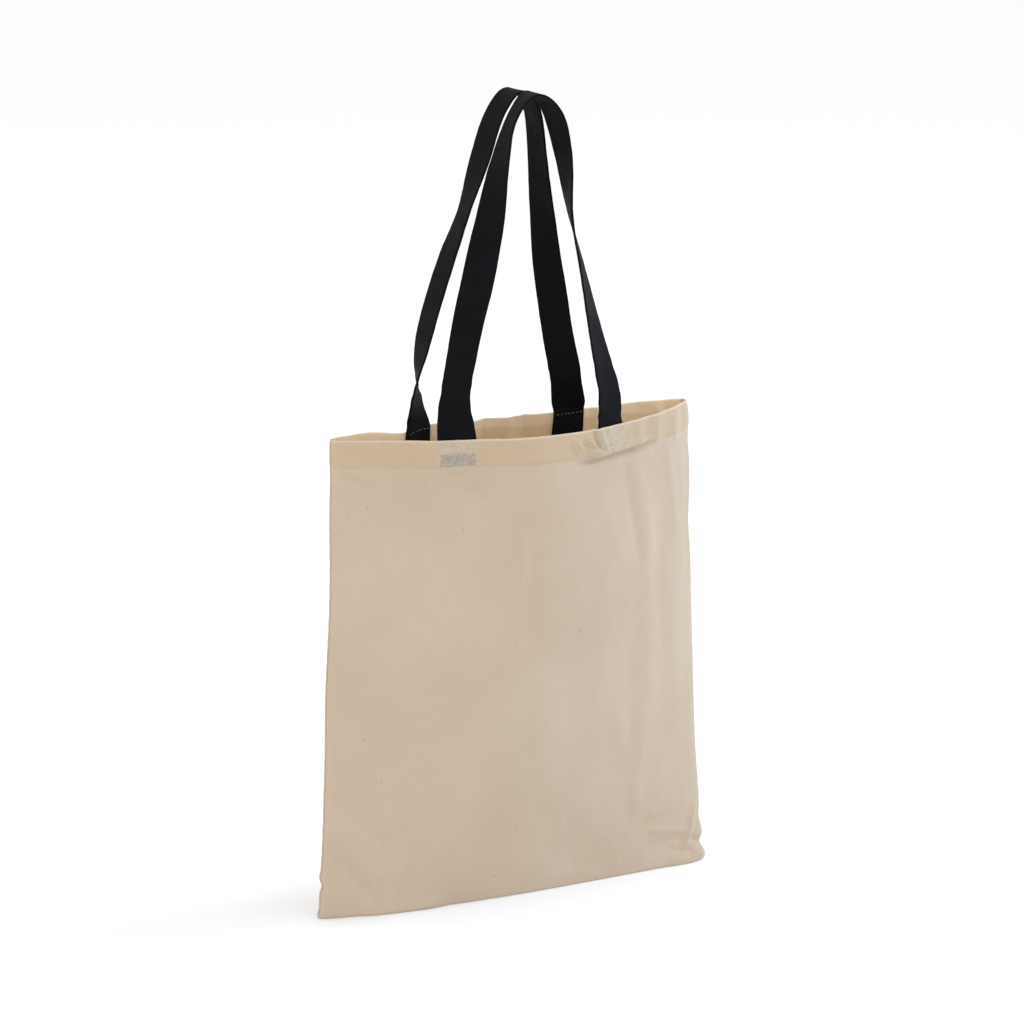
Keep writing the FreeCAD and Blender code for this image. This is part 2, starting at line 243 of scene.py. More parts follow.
BACK_FOLDS = [
    # the mouth's wavy back edge
    ((-110, 430), (-106, 374), 14, -8.6, 2), ((-72, 430), (-75, 382), 13, 3.2, 2),
    ((-138, 424), (-134, 386), 10, 1.2, 2),
    ((44, 424), (40, 366), 20, -3.6, 2), ((132, 424), (120, 350), 24, 3.4, 2),
    ((-20, 424), (-22, 388), 4.5, 2.1, 2), ((-33, 424), (-36, 392), 4, -1.9, 2),
    ((0, 424), (3, 386), 6, -1.7, 2), ((18, 424), (20, 390), 3.6, 2.2, 2),
    ((-56, 423), (-58, 390), 4, 1.5, 2), ((92, 424), (90, 388), 5, -1.8, 2),
    ((104, 422), (104, 385), 4.5, 1.3, 2), ((150, 422), (146, 380), 6, -1.2, 2),
    ((163, 420), (160, 384), 5, 0.9, 2), ((-158, 421), (-156, 392), 5, -0.9, 2),
    # below the strap ends and down the belly
    ((-112, 393), (-88, 330), 6, 1.2, 2), ((-76, 392), (-84, 320), 6, -1.1, 2),
    ((40, 393), (58, 325), 6, 1.2, 2), ((78, 392), (66, 315), 6, -1.0, 2),
    ((-30, 360), (-10, 180), 14, 1.3, 2), ((30, 300), (10, 120), 15, -1.2, 2),
    ((110, 330), (96, 150), 13, 1.2, 2), ((-120, 280), (-100, 110), 14, -1.1, 2),
    ((-150, 330), (-140, 200), 9, 1.0, 2), ((150, 250), (140, 90), 9, 0.9, 2),
    ((-176, 60), (-140, 30), 5, 1.2, 1.7), ((-180, 40), (-150, 14), 4, -1.2, 1.7),
    ((176, 66), (146, 34), 5, 1.1, 1.7), ((182, 38), (156, 16), 4, -1.2, 1.7),
    ((-60, 30), (30, 18), 7, 0.7, 2), ((60, 44), (110, 20), 7, -0.8, 2),
]


def relief(side, x, z):
    """How far the cloth stands off the plain standing shape, along its normal."""
    total = 0
    for start, end, width, height, power in FRONT_FOLDS if side == FRONT else BACK_FOLDS:
        total = total + fold(x, z, start, end, width, height, power)
    # both panels keep to the side seams
    total = total * (0.12 + 0.88 * ease((half_width(z) - np.abs(x)) / 7))
    inner = ease((half_width(z) - np.abs(x)) / 22)
    calm = ease(z / 18)
    total = total + inner * calm * ripples(x, z, 11 + side, 0.45, 80, 0.7)
    total = total + inner * ripples(x, z, 31 + side, 0.12, 19, 1.3)
    # the doubled hem stands out, and its stitching draws a fine puckered groove
    line = HEM_LOW + BOX_MARGIN
    total = total + 0.55 * (0.2 + 0.8 * inner) * ease((z - line + 2.4) / 2.6)
    pucker = 1 + 0.35 * np.sin(2 * np.pi * x / 7.2 + 0.8 * np.sin(x / 17))
    total = total - 0.5 * inner * pucker * bump(z, line, 1.5)
    wander = 2 * np.pi * (x + 0.25 * z) / 11 + 2.1 * np.sin(x / 37)
    total = total + 0.08 * inner * ease((z - line) / 4) * np.sin(wander)
    # small gathers along the side seams
    rim = 1 - ease((half_width(z) - np.abs(x)) / 9)
    total = total + 0.10 * rim * np.sin(2 * np.pi * z / 13 + 2.3 * np.sin(z / 29))
    return total


def rim_drop(side, xi):
    """How far the mouth sags below its corners."""
    if side == FRONT:
        return 1.6 * np.cos(np.pi / 2 * xi) ** 2
    return 0.5 * np.cos(np.pi / 2 * xi) ** 2 + 0.7 * bump(xi, -0.6, 0.12)


def corner_lift(x):
    """How far the bag's bottom edge curls up off the floor at its corners."""
    return 1.5 * ease((x - 180) / 14) ** 1.5 + 0.5 * ease((-x - 182) / 9) ** 1.5


def plain_wall(side, xi, z):
    """A panel's outer face before its folds; xi runs from -1 to 1 between the seams."""
    hand = np.sign(xi)
    middle = np.where(hand < 0, edge_shift(-1, z), edge_shift(1, z))
    x = xi * half_width(z) + hand * middle * np.abs(xi) ** 12
    reach = bulge(side, xi, z)
    # the last of the cloth dips into the side seam
    lip = ease(1 - reach / 1.9)
    x = x + hand * (1.6 * np.abs(xi) ** 10 - 1.0 * lip)
    y = seam_line(xi, z) + side * (reach + 0.3 + 0.75 * (1 - lip))
    lowered = z - rim_drop(side, xi) * ease((z - 250) / (HEIGHT - 250))
    lowered = lowered + corner_lift(x) * ease((30 - z) / 30)
    return np.stack(np.broadcast_arrays(x, y, lowered), -1)


def wall(side, xi, z):
    """Points and outward normals of a panel's outer face."""
    xi, z = np.broadcast_arrays(np.asarray(xi, float), np.asarray(z, float))

    def stood(a, b):
        base = plain_wall(side, a, b)
        da, db = 2e-4, 0.05
        across = plain_wall(side, np.clip(a + da, -1, 1), b)
        across = across - plain_wall(side, np.clip(a - da, -1, 1), b)
        up = plain_wall(side, a, b + db) - plain_wall(side, a, b - db)
        normal = np.cross(across, up) * -side
        normal /= np.linalg.norm(normal, axis=-1, keepdims=True) + 1e-12
        return base + normal * relief(side, a * half_width(b), b)[..., None]

    points = stood(xi, z)
    da, db = 2e-3, 0.4
    across = stood(np.clip(xi + da, -1, 1), z) - stood(np.clip(xi - da, -1, 1), z)
    up = stood(xi, z + db) - stood(xi, z - db)
    normal = np.cross(across, up) * -side
    normal /= np.linalg.norm(normal, axis=-1, keepdims=True) + 1e-12
    return points, normal


# ---------------------------------------------------------------- mesh makers

def place_mesh(name, mesh):
    mesh.shade_smooth()
    mesh.validate()
    made = bpy.data.objects.new(name, mesh)
    bpy.context.scene.collection.objects.link(made)
    return made


def map_points(mesh, uv):
    """Gives each point's place in the flat cloth to every face corner on it."""
    layer = mesh.uv_layers.new(name="cloth")
    corner = np.zeros(len(mesh.loops), np.int32)
    mesh.loops.foreach_get("vertex_index", corner)
    layer.data.foreach_set("uv", (uv[corner] * MM).astype(np.float32).ravel())


def make_object(name, verts, faces, uv, masks=None):
    mesh = bpy.data.meshes.new(name)
    mesh.from_pydata((np.asarray(verts) * MM).tolist(), [], faces.tolist())
    layer = mesh.uv_layers.new(name="cloth")
    layer.data.foreach_set("uv", (uv * MM).astype(np.float32).ravel())
    for key, values in (masks or {}).items():
        held = mesh.attributes.new(key, "FLOAT", "POINT")
        held.data.foreach_set("value", np.asarray(values, np.float32).ravel())
    return place_mesh(name, mesh)


def grid_faces(rows, columns, flip, wrap=False):
    i, j = np.meshgrid(np.arange(rows - 1), np.arange(columns if wrap else columns - 1),
                       indexing="ij")
    i, j = i.ravel(), j.ravel()
    after = (j + 1) % columns
    faces = np.stack([i * columns + j, i * columns + after,
                      (i + 1) * columns + after, (i + 1) * columns + j], 1)
    return faces[:, ::-1] if flip else faces


def sheet_object(name, grid, cloth, flip, thickness, masks=None):
    """An open grid of cloth, thickened away from its normals."""
    rows, columns = grid.shape[:2]
    faces = grid_faces(rows, columns, flip)
    uv = cloth.reshape(-1, 2)[faces.ravel()]
    made = make_object(name, grid.reshape(-1, 3), faces, uv, masks)
    thick = made.modifiers.new("thickness", "SOLIDIFY")
    thick.thickness = thickness * MM
    thick.offset = -1
    return made


def lengths(grid, axis):
    """Distance along a grid's rows or columns, from its middle row or column."""
    step = np.linalg.norm(np.diff(grid, axis=axis), axis=-1)
    step = step.mean(axis=1 - axis)
    run = np.concatenate([[0], np.cumsum(step)])
    return run - run[len(run) // 2]


def cloth_map(grid):
    """Each grid point's place in the flat cloth."""
    u, v = lengths(grid, 1), lengths(grid, 0)
    return np.stack(np.meshgrid(u, v), -1)


def thread_object(name, paths, normals, radius, taper=0.35, sides=6, dark=None):
    """Short runs of thread: paths is (count, points, 3), normals is (count, 3)."""
    count, points = paths.shape[:2]
    along = np.gradient(paths, axis=1)
    along /= np.linalg.norm(along, axis=-1, keepdims=True) + 1e-12
    beside = np.cross(along, normals[:, None, :])
    beside /= np.linalg.norm(beside, axis=-1, keepdims=True) + 1e-12
    above = np.cross(beside, along)
    t = np.linspace(-1, 1, points)
    thick = radius * np.sqrt(np.clip(1 - (1 - taper) * t ** 6, 0.05, 1))
    turn = np.linspace(0, 2 * np.pi, sides, endpoint=False)
    ring = (beside[:, :, None, :] * np.cos(turn)[None, None, :, None]
            + above[:, :, None, :] * np.sin(turn)[None, None, :, None])
    verts = paths[:, :, None, :] + ring * thick[None, :, None, None]
    one = grid_faces(points, sides, False, wrap=True)
    faces = (one[None] + np.arange(count)[:, None, None] * points * sides).reshape(-1, 4)
    caps = []
    for k in range(count):
        first = k * points * sides
        last = first + (points - 1) * sides
        caps.append([first + i for i in range(sides)][::-1])
        caps.append([last + i for i in range(sides)])
    run = np.repeat(np.linspace(0, 1, points), sides) * 2.5
    u = np.tile(run, count)
    v = np.tile(np.tile(np.arange(sides) / sides, points), count)
    uv = np.stack([u, v], 1)
    mesh = bpy.data.meshes.new(name)
    mesh.from_pydata((verts.reshape(-1, 3) * MM).tolist(), [], faces.tolist() + caps)
    if dark is not None:
        held = mesh.attributes.new("dark", "FLOAT", "POINT")
        held.data.foreach_set("value", np.repeat(dark, points * sides).astype(np.float32))
    map_points(mesh, uv)
    return place_mesh(name, mesh)


# ---------------------------------------------------------------- panels and hems

def across(count, squeeze=0.85, limit=1.0):
    """Columns from side to side, closer together beside the seams."""
    c = np.linspace(-1, 1, count)
    return limit * ((1 - squeeze) * c + squeeze * np.sin(np.pi / 2 * c))


PANEL_XI = across(242)
WALL_Z = np.concatenate([
    np.linspace(FLOOR_EDGE, 52, 30, endpoint=False),
    np.linspace(52, 376, 110, endpoint=False),
    np.linspace(376, HEIGHT - RIM_RADIUS, 42)])


def strap_marks(side, points):
    """How strongly the dark strap behind the hem shows through."""
    x, z = points[..., 0], points[..., 2]
    marks = np.zeros(x.shape)
    for k in (0, 1):
        middle = END_X[side][k]
        half = STRAP_WIDTH / 2
        box = ease((half + 1.2 - np.abs(x - middle)) / 2.4)
        box = box * ease((z - SEWN_LOW + 1.0) / 2.0) * ease((HEIGHT - 0.8 - z) / 2.0)
        if side == FRONT and k == 0:
            strength = 0.66 + 0.30 * ease((409 - z) / 3)
        elif side == FRONT:
            strength = 0.62 + 0.08 * ease((407 - z) / 6)
        else:
            strength = 0.45
        marks = np.maximum(marks, box * strength)
    return marks


def panel(side, name, node):
    points, normal = wall(side, PANEL_XI[None, :], WALL_Z[:, None])
    base, top = points[0], points[-1]
    rows = []
    # under the bag: from the bottom seam out to the floor edge
    centre_y = seam_line(PANEL_XI, 0.0) + side * 0.25
    reach = np.abs(base[:, 1] - centre_y)
    radius = np.minimum(FLOOR_EDGE, reach * 0.6)
    start = base[:, 1] - side * radius
    for share in (0, 0.3, 0.6, 0.85, 1.0):
        y = centre_y + (start - centre_y) * share
        lift = UNDER_LIFT + 0.9 * (1 - share) ** 3 + corner_lift(base[:, 0])
        rows.append(np.stack([base[:, 0] * (1 - 0.002 * (1 - share)), y, y * 0 + lift], -1))
    for angle in (20, 42, 64):
        turn = math.radians(angle)
        y = start + side * radius * math.sin(turn)
        z = UNDER_LIFT + (FLOOR_EDGE - UNDER_LIFT) * (1 - math.cos(turn)) + corner_lift(base[:, 0])
        rows.append(np.stack([base[:, 0], y, y * 0 + z], -1))
    rows.extend(points)
    # over the rim as far as its highest line
    inward = -normal[-1].copy()
    inward[:, 2] = 0
    inward /= np.linalg.norm(inward, axis=-1, keepdims=True)
    for angle in (22, 45, 68, 90):
        turn = math.radians(angle)
        moved = top + inward * RIM_RADIUS * (1 - math.cos(turn))
        moved[:, 2] = top[:, 2] + RIM_RADIUS * math.sin(turn)
        rows.append(moved)
    grid = np.array(rows)
    grid[..., 2] = np.maximum(grid[..., 2], UNDER_LIFT)
    cloth = cloth_map(grid)
    band = ease((np.concatenate([np.zeros(8), WALL_Z, np.full(4, HEIGHT)]) - HEM_LOW) / 1.6)
    band = np.repeat(band[:, None], grid.shape[1], 1)
    # painted highlight mask: 1 on the rows over the rim and on the top 2 mm of the wall
    painted_light = np.concatenate([np.zeros(8), ease((WALL_Z - HEIGHT + 2.2) / 1.3), np.ones(4)])
    painted_light = np.repeat(painted_light[:, None], grid.shape[1], 1)
    made = sheet_object(name, grid, cloth, side == BACK, CLOTH,
                        {"show_through": strap_marks(side, grid), "hem_band": band, "painted_light": painted_light})
    made.modifiers["thickness"].material_offset = 1
    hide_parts(node)
    return made


def hem(side, name, node):
    xi = across(236, 0.7, 0.985)
    z = np.linspace(HEIGHT - RIM_RADIUS, HEM_LOW, 26)
    points, normal = wall(side, xi[None, :], z[:, None])
    inward = -normal
    flat = inward[0].copy()
    flat[:, 2] = 0
    flat /= np.linalg.norm(flat, axis=-1, keepdims=True)
    rows = []
    for angle in (90, 112, 135, 158):
        turn = math.radians(angle)
        moved = points[0] + flat * RIM_RADIUS * (1 - math.cos(turn))
        moved[:, 2] = points[0][:, 2] + RIM_RADIUS * math.sin(turn)
        rows.append(moved)
    depth = 2 * RIM_RADIUS
    rows.extend(points + inward * depth)
    low, last = points[-1], inward[-1]
    for drop, back in ((0.45, 0.15), (0.75, 0.6), (0.6, 1.05)):
        moved = low + last * (depth - back)
        moved[:, 2] -= drop
        rows.append(moved)
    grid = np.array(rows)
    # painted light mask: the top 11 mm or so of the hem's inner side, lit over the mouth
    painted_light = ease((grid[..., 2] - HEIGHT + 11 + 1.5 * np.sin(grid[..., 0] / 19)) / 3)
    made = sheet_object(name, grid, cloth_map(grid) + 300, side == BACK, CLOTH, {"painted_light": painted_light})
    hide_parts(node)
    return made


front_panel = panel(FRONT, "front_canvas", "front_panel")
back_panel = panel(BACK, "back_canvas", "back_panel")
front_hem = hem(FRONT, "front_hem_fold", "front_hem")
back_hem = hem(BACK, "back_hem_fold", "back_hem")


# ---------------------------------------------------------------- straps

def smooth(points, position):
    """Points on one smooth curve through a list of points."""
    index = np.minimum(position.astype(int), len(points) - 2)
    t = (position - index)[:, None]
    p0 = points[np.maximum(index - 1, 0)]
    p1, p2 = points[index], points[index + 1]
    p3 = points[np.minimum(index + 2, len(points) - 1)]
    cubic = -p0 + 3 * p1 - 3 * p2 + p3
    square = 2 * p0 - 5 * p1 + 4 * p2 - p3
    return 0.5 * (2 * p1 + (p2 - p0) * t + square * t ** 2 + cubic * t ** 3)


def relax(values, times, hold):
    """Evens out a row of points, leaving the first and last few alone."""
    out = values.copy()
    for _ in range(times):
        out[1:-1] = (out[:-2] + 2 * out[1:-1] + out[2:]) / 4
        out[:hold], out[-hold:] = values[:hold], values[-hold:]
    return out


def sewn_run(side, k):
    """Middle points and width angles of a strap's sewn end, from its cut end up."""
    z = np.linspace(SEWN_LOW, HEIGHT - 1.5, 13)
    xi = END_X[side][k] / half_width(z)
    points, normal = wall(side, xi, z)
    middle = points - normal * (STRAP_DEPTH + STRAP_THICKNESS / 2)
    tangent = np.stack([-normal[:, 1], normal[:, 0]], -1) * side
    tangent = -tangent if tangent[0, 0] < 0 else tangent
    angle = np.degrees(np.arctan2(tangent[:, 1], tangent[:, 0]))
    if k == 1:
        angle = angle - 180 if side == FRONT else angle + 180
    return np.column_stack([middle, angle])


def strap_section(half, thick):
    """Across and up round the closed section: a flat band with round edges."""
    flat = np.linspace(-half + thick, half - thick, SECTION_FLAT)
    arc = np.radians([22.5, 45, 67.5])
    across_w = np.concatenate([flat, half - thick + thick * np.sin(arc),
                               [half], half - thick + thick * np.sin(arc[::-1]),
                               flat[::-1], -half + thick - thick * np.sin(arc),
                               [-half], -half + thick - thick * np.sin(arc[::-1])])
    up = np.concatenate([flat * 0 + thick, thick * np.cos(arc), [0], -thick * np.cos(arc[::-1]),
                         flat * 0 - thick, -thick * np.cos(arc), [0], thick * np.cos(arc[::-1])])
    # the woven edges are a little fuller than the middle
    return across_w, up * (1 + 0.16 * bump(np.abs(across_w), half - 1.6, 1.0))


def strap(side, loop, name, nodes):
    """One continuous handle: a sewn end, the free loop and the other sewn end."""
    loop = np.array(loop, float)
    left = sewn_run(side, 0)
    right = sewn_run(side, 1)[::-1]
    free = smooth(loop, np.linspace(0, len(loop) - 1, 320))
    route = np.concatenate([left, free, right])
    hold = 11
    route = relax(route, 14, hold)
    # even stations along the strap
    step = np.linalg.norm(np.diff(route[:, :3], axis=0), axis=1)
    run = np.concatenate([[0], np.cumsum(step)])
    s = np.linspace(0, run[-1], int(run[-1] / STATION_STEP))
    route = np.column_stack([np.interp(s, run, route[:, k]) for k in range(4)])
    route = relax(route, 6, hold)
    centre, turn = route[:, :3], np.radians(route[:, 3])
    along = np.gradient(centre, axis=0)
    along /= np.linalg.norm(along, axis=1, keepdims=True)
    width = np.stack([np.cos(turn), np.sin(turn), turn * 0], 1)
    width -= along * (width * along).sum(1, keepdims=True)
    width /= np.linalg.norm(width, axis=1, keepdims=True)
    face = np.cross(along, width)
    half, thick = STRAP_WIDTH / 2, STRAP_THICKNESS / 2
    across_w, up = strap_section(half, thick)
    ends = np.minimum(s, s[-1] - s)
    sewn = 1 - ease((ends - 22) / 22)
    near = ease((ends - 20) / 12) * (1 - ease((ends - 40) / 60))
    share = across_w / half
    # sewn ends follow the curve of the mouth; free runs cup a little and ripple near the rim
    wall_bend = 0.6 if side == FRONT else 0.1
    toward = np.sign((face * np.array([0, side, 0])).sum(1))[:, None]
    bend = -wall_bend * toward * sewn[:, None] * share[None, :] ** 2
    free_share = (1 - sewn)[:, None]
    cup = 0.35 * np.sin(s / 47 + side)[:, None] * (share[None, :] ** 2 - 0.35)
    random = np.random.default_rng(5 + side)
    crumple = 0
    for _ in range(9):
        length = random.uniform(9, 30)
        lean = random.uniform(-0.9, 0.9)
        phase = random.uniform(0, 6.3)
        crumple = crumple + np.sin(s[:, None] * 6.28 / length + lean * 2.2 * share[None, :] + phase)
    crumple = crumple / 3 * (0.42 * near[:, None] + 0.07 * free_share)
    waviness = 0.25 * np.sin(s / 31 + 1.0)[:, None] * share[None, :] * free_share
    offset = bend + free_share * (cup + waviness) + crumple
    edge = 1 + 0.004 * np.sin(s / 13)[:, None] * free_share
    if side == BACK:
        # the webbing gathers a little where it turns above the mouth
        edge = edge - 0.13 * bump(s - s[-1], -46, 17)[:, None]
    stray = 0.35 * (np.sin(s / 23 + side) + np.sin(s / 9.7 + 2.0 * side) * 0.5)[:, None] * free_share
    grid = (centre[:, None, :] + width[:, None, :] * (across_w[None, :] * edge + stray)[..., None]
            + face[:, None, :] * (up[None, :] + offset)[..., None])
    # each point of a sewn end lies at its own depth behind the mouth's cloth
    for k, part in enumerate((slice(0, SEWN_STATIONS), slice(len(s) - SEWN_STATIONS, len(s)))):
        z = np.minimum(centre[part, 2], HEIGHT - 1.2)
        over = centre[part, 2] - z
        reverse = -1 if k == 1 else 1
        x = END_X[side][k] + reverse * across_w[None, :] * edge[part]
        xi = x / half_width(z)[:, None]
        laid, normal = wall(side, xi, z[:, None])
        outward = np.sign((face[part] * normal[:, SECTION_FLAT // 2]).sum(1))[:, None]
        depth = STRAP_DEPTH + thick - outward * up[None, :]
        laid = laid - normal * depth[..., None]
        laid[..., 2] += over[:, None]
        weight = ease((ends[part] - 22) / 11)[:, None, None]
        grid[part] = laid * (1 - weight) + grid[part] * weight
    rows, columns = grid.shape[:2]
    faces = grid_faces(rows, columns, False, wrap=True)
    cloth = np.stack(np.meshgrid(across_w, s), -1).reshape(-1, 2)
    mesh_faces = faces.tolist() + [list(range(columns))[::-1],
                                   [(rows - 1) * columns + k for k in range(columns)]]
    mesh = bpy.data.meshes.new(name)
    mesh.from_pydata((grid.reshape(-1, 3) * MM).tolist(), [], mesh_faces)
    map_points(mesh, cloth)
    made = place_mesh(name, mesh)
    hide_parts(*nodes)
    return made, s[-1]


front_strap, front_length = strap(FRONT, FRONT_LOOP, "front_strap", [
    "front_handle_loop", "front_strap_end_left", "front_strap_end_right"])
back_strap, back_length = strap(BACK, BACK_LOOP, "back_strap", [
    "back_handle_loop", "back_strap_end_left", "back_strap_end_right"])


# ---------------------------------------------------------------- stitching

def stitch_paths(side, x, z, slope, depth, length=STITCH_LENGTH):
    """Arched stitches on a panel; depth 0 is its outer face, more is inside the hem."""
    xi = x / half_width(z)
    points, normal = wall(side, xi, z)
    right = np.stack([-normal[:, 1], normal[:, 0], normal[:, 0] * 0], 1) * side
    right = np.where(right[:, :1] < 0, -right, right)
    upward = np.cross(right, normal)
    upward = np.where(upward[:, 2:] < 0, -upward, upward)
    direction = right * np.cos(slope)[:, None] + upward * np.sin(slope)[:, None]
    out = normal if depth == 0 else -normal
    base = points - normal * depth
    t = np.linspace(-1, 1, 7)
    arch = 0.16 - 0.42 * t ** 4
    paths = (base[:, None, :] + direction[:, None, :] * (t * length / 2)[None, :, None]
             + out[:, None, :] * arch[None, :, None])
    return paths, out


def row(start, end, pitch=STITCH_PITCH, skip_middle=False):
    """Middles and slope of the stitches along a straight row."""
    run = math.hypot(end[0] - start[0], end[1] - start[1])
    count = int(run / pitch)
    share = (np.arange(count) + 0.5) / count
    if skip_middle:
        share = share[np.abs(share - 0.5) > STITCH_LENGTH / run]
    x = start[0] + (end[0] - start[0]) * share
    z = start[1] + (end[1] - start[1]) * share
    slope = np.full(len(share), math.atan2(end[1] - start[1], end[0] - start[0]))
    return np.stack([x, z, slope])


def hem_row(side, name, node):
    z = HEM_LOW + BOX_MARGIN
    reach = half_width(z) - 6
    x, z, slope = row((-reach, z), (reach, z))
    paths, normals = stitch_paths(side, x, z, slope, 0)
    made = thread_object(name, paths, normals, THREAD_RADIUS)
    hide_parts(node)
    return made


def strap_boxes(side, name, node):
    """The box and cross that hold each strap end, seen on both sides of the cloth."""
    paths, normals, dark = [], [], []
    low, high = SEWN_LOW + 2 * BOX_MARGIN, HEIGHT - BOX_MARGIN
    for middle in END_X[side]:
        left = middle - STRAP_WIDTH / 2 + BOX_MARGIN
        right = middle + STRAP_WIDTH / 2 - BOX_MARGIN
        rows = [row((left, low), (right, low)), row((left, high), (right, high)),
                row((left, low), (left, high)), row((right, low), (right, high)),
                row((left, low), (right, high)), row((left, high), (right, low), skip_middle=True)]
        x, z, slope = np.concatenate(rows, axis=1)
        for depth in (0, STRAP_DEPTH + STRAP_THICKNESS):
            length = STITCH_LENGTH if depth == 0 else INNER_STITCH_LENGTH
            p, n = stitch_paths(side, x, z, slope, depth, length)
            paths.append(p)
            normals.append(n)
            dark.append(np.where((np.abs(z - high) < 0.1) | (depth == 0), 0.0, 1.0))
    made = thread_object(name, np.concatenate(paths), np.concatenate(normals),
                         BOX_THREAD_RADIUS, dark=np.concatenate(dark))
    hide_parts(node)
    return made


threads = [
    hem_row(FRONT, "front_hem_row", "front_hem_stitches"),
    hem_row(BACK, "back_hem_row", "back_hem_stitches"),
    strap_boxes(FRONT, "front_strap_boxes", "front_strap_stitches"),
    strap_boxes(BACK, "back_strap_boxes", "back_strap_stitches"),
]


# ---------------------------------------------------------------- seam allowances inside

def side_allowance(hand, name, node):
    """Raw edges of a side seam, lying inside the bag from just behind the seam."""
    z = np.linspace(14, HEM_LOW - 1, 150)
    inset = np.linspace(SEAM_INSET, SEAM_INSET + SEAM_WIDTH, 7)
    y = seam_line(np.full(z.shape, float(hand)), z)
    x = hand * (half_width(z)[:, None] - inset[None, :])
    curl = (inset - SEAM_INSET) / SEAM_WIDTH
    sway = 0.5 * np.sin(z / 19)[:, None] * curl[None, :] + 0.25 * np.sin(z / 7)[:, None] * curl ** 2
    grid = np.stack(np.broadcast_arrays(x, y[:, None] + 0.55 + sway, z[:, None]), -1)
    made = sheet_object(name, grid, cloth_map(grid) + 700, hand < 0, SEAM_CLOTH)
    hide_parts(node)
    passes = np.arange(18, HEM_LOW - 5, OVERLOCK_PITCH)
    edge = hand * (half_width(passes) - SEAM_INSET - SEAM_WIDTH)
    mid = np.interp(passes, z, (y[:, None] + sway)[:, -1])
    t = np.linspace(-1, 1, 11)
    reach = OVERLOCK_REACH * t ** 2 - 0.35
    away = 0.85 * np.tanh(3.2 * t)
    paths = np.stack([edge[:, None] + hand * reach[None, :], mid[:, None] + away[None, :],
                      passes[:, None] + 1.3 * t[None, :]], -1)
    normals = np.tile([-hand * 1.0, 0.0, 0.2], (len(passes), 1))
    return made, paths, normals


def bottom_allowance(name, node):
    """Raw edges of the bottom seam, standing up inside the bag."""
    x = np.linspace(-BASE_HALF + 6, BASE_HALF - 6, 180)
    z = np.linspace(BOTTOM_SEAM_LOW, BOTTOM_SEAM_LOW + SEAM_WIDTH, 7)
    curl = (z - BOTTOM_SEAM_LOW) / SEAM_WIDTH
    sway = 0.45 * np.sin(x / 21)[None, :] * curl[:, None]
    grid = np.stack(np.broadcast_arrays(x[None, :], SEAM_Y_BASE - 0.55 + sway, z[:, None]), -1)
    made = sheet_object(name, grid, cloth_map(grid) + 900, False, SEAM_CLOTH)
    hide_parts(node)
    passes = np.arange(-BASE_HALF + 25, BASE_HALF - 24, OVERLOCK_PITCH)
    mid = SEAM_Y_BASE + 0.45 * np.sin(passes / 21)
    t = np.linspace(-1, 1, 11)
    height = BOTTOM_SEAM_LOW + SEAM_WIDTH + 0.35 - OVERLOCK_REACH * t ** 2
    away = 0.85 * np.tanh(3.2 * t)
    paths = np.stack([passes[:, None] + 1.3 * t[None, :], mid[:, None] + away[None, :],
                      np.tile(height, (len(passes), 1))], -1)
    normals = np.tile([0.2, 0.0, 1.0], (len(passes), 1))
    return made, paths, normals


seams = []
for maker, label, node in ((lambda n, d: side_allowance(-1, n, d), "left", "side_seam"),
                           (lambda n, d: side_allowance(1, n, d), "right", "side_seam"),
                           (bottom_allowance, "bottom", "seam")):
    made, paths, normals = maker(label + "_allowance", label + "_" + node)
    seams.append(made)
    wraps = thread_object(label + "_overlock", paths, normals, OVERLOCK_RADIUS, taper=0.8)
    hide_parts(label + "_overlock_thread")
    threads.append(wraps)


# ---------------------------------------------------------------- materials

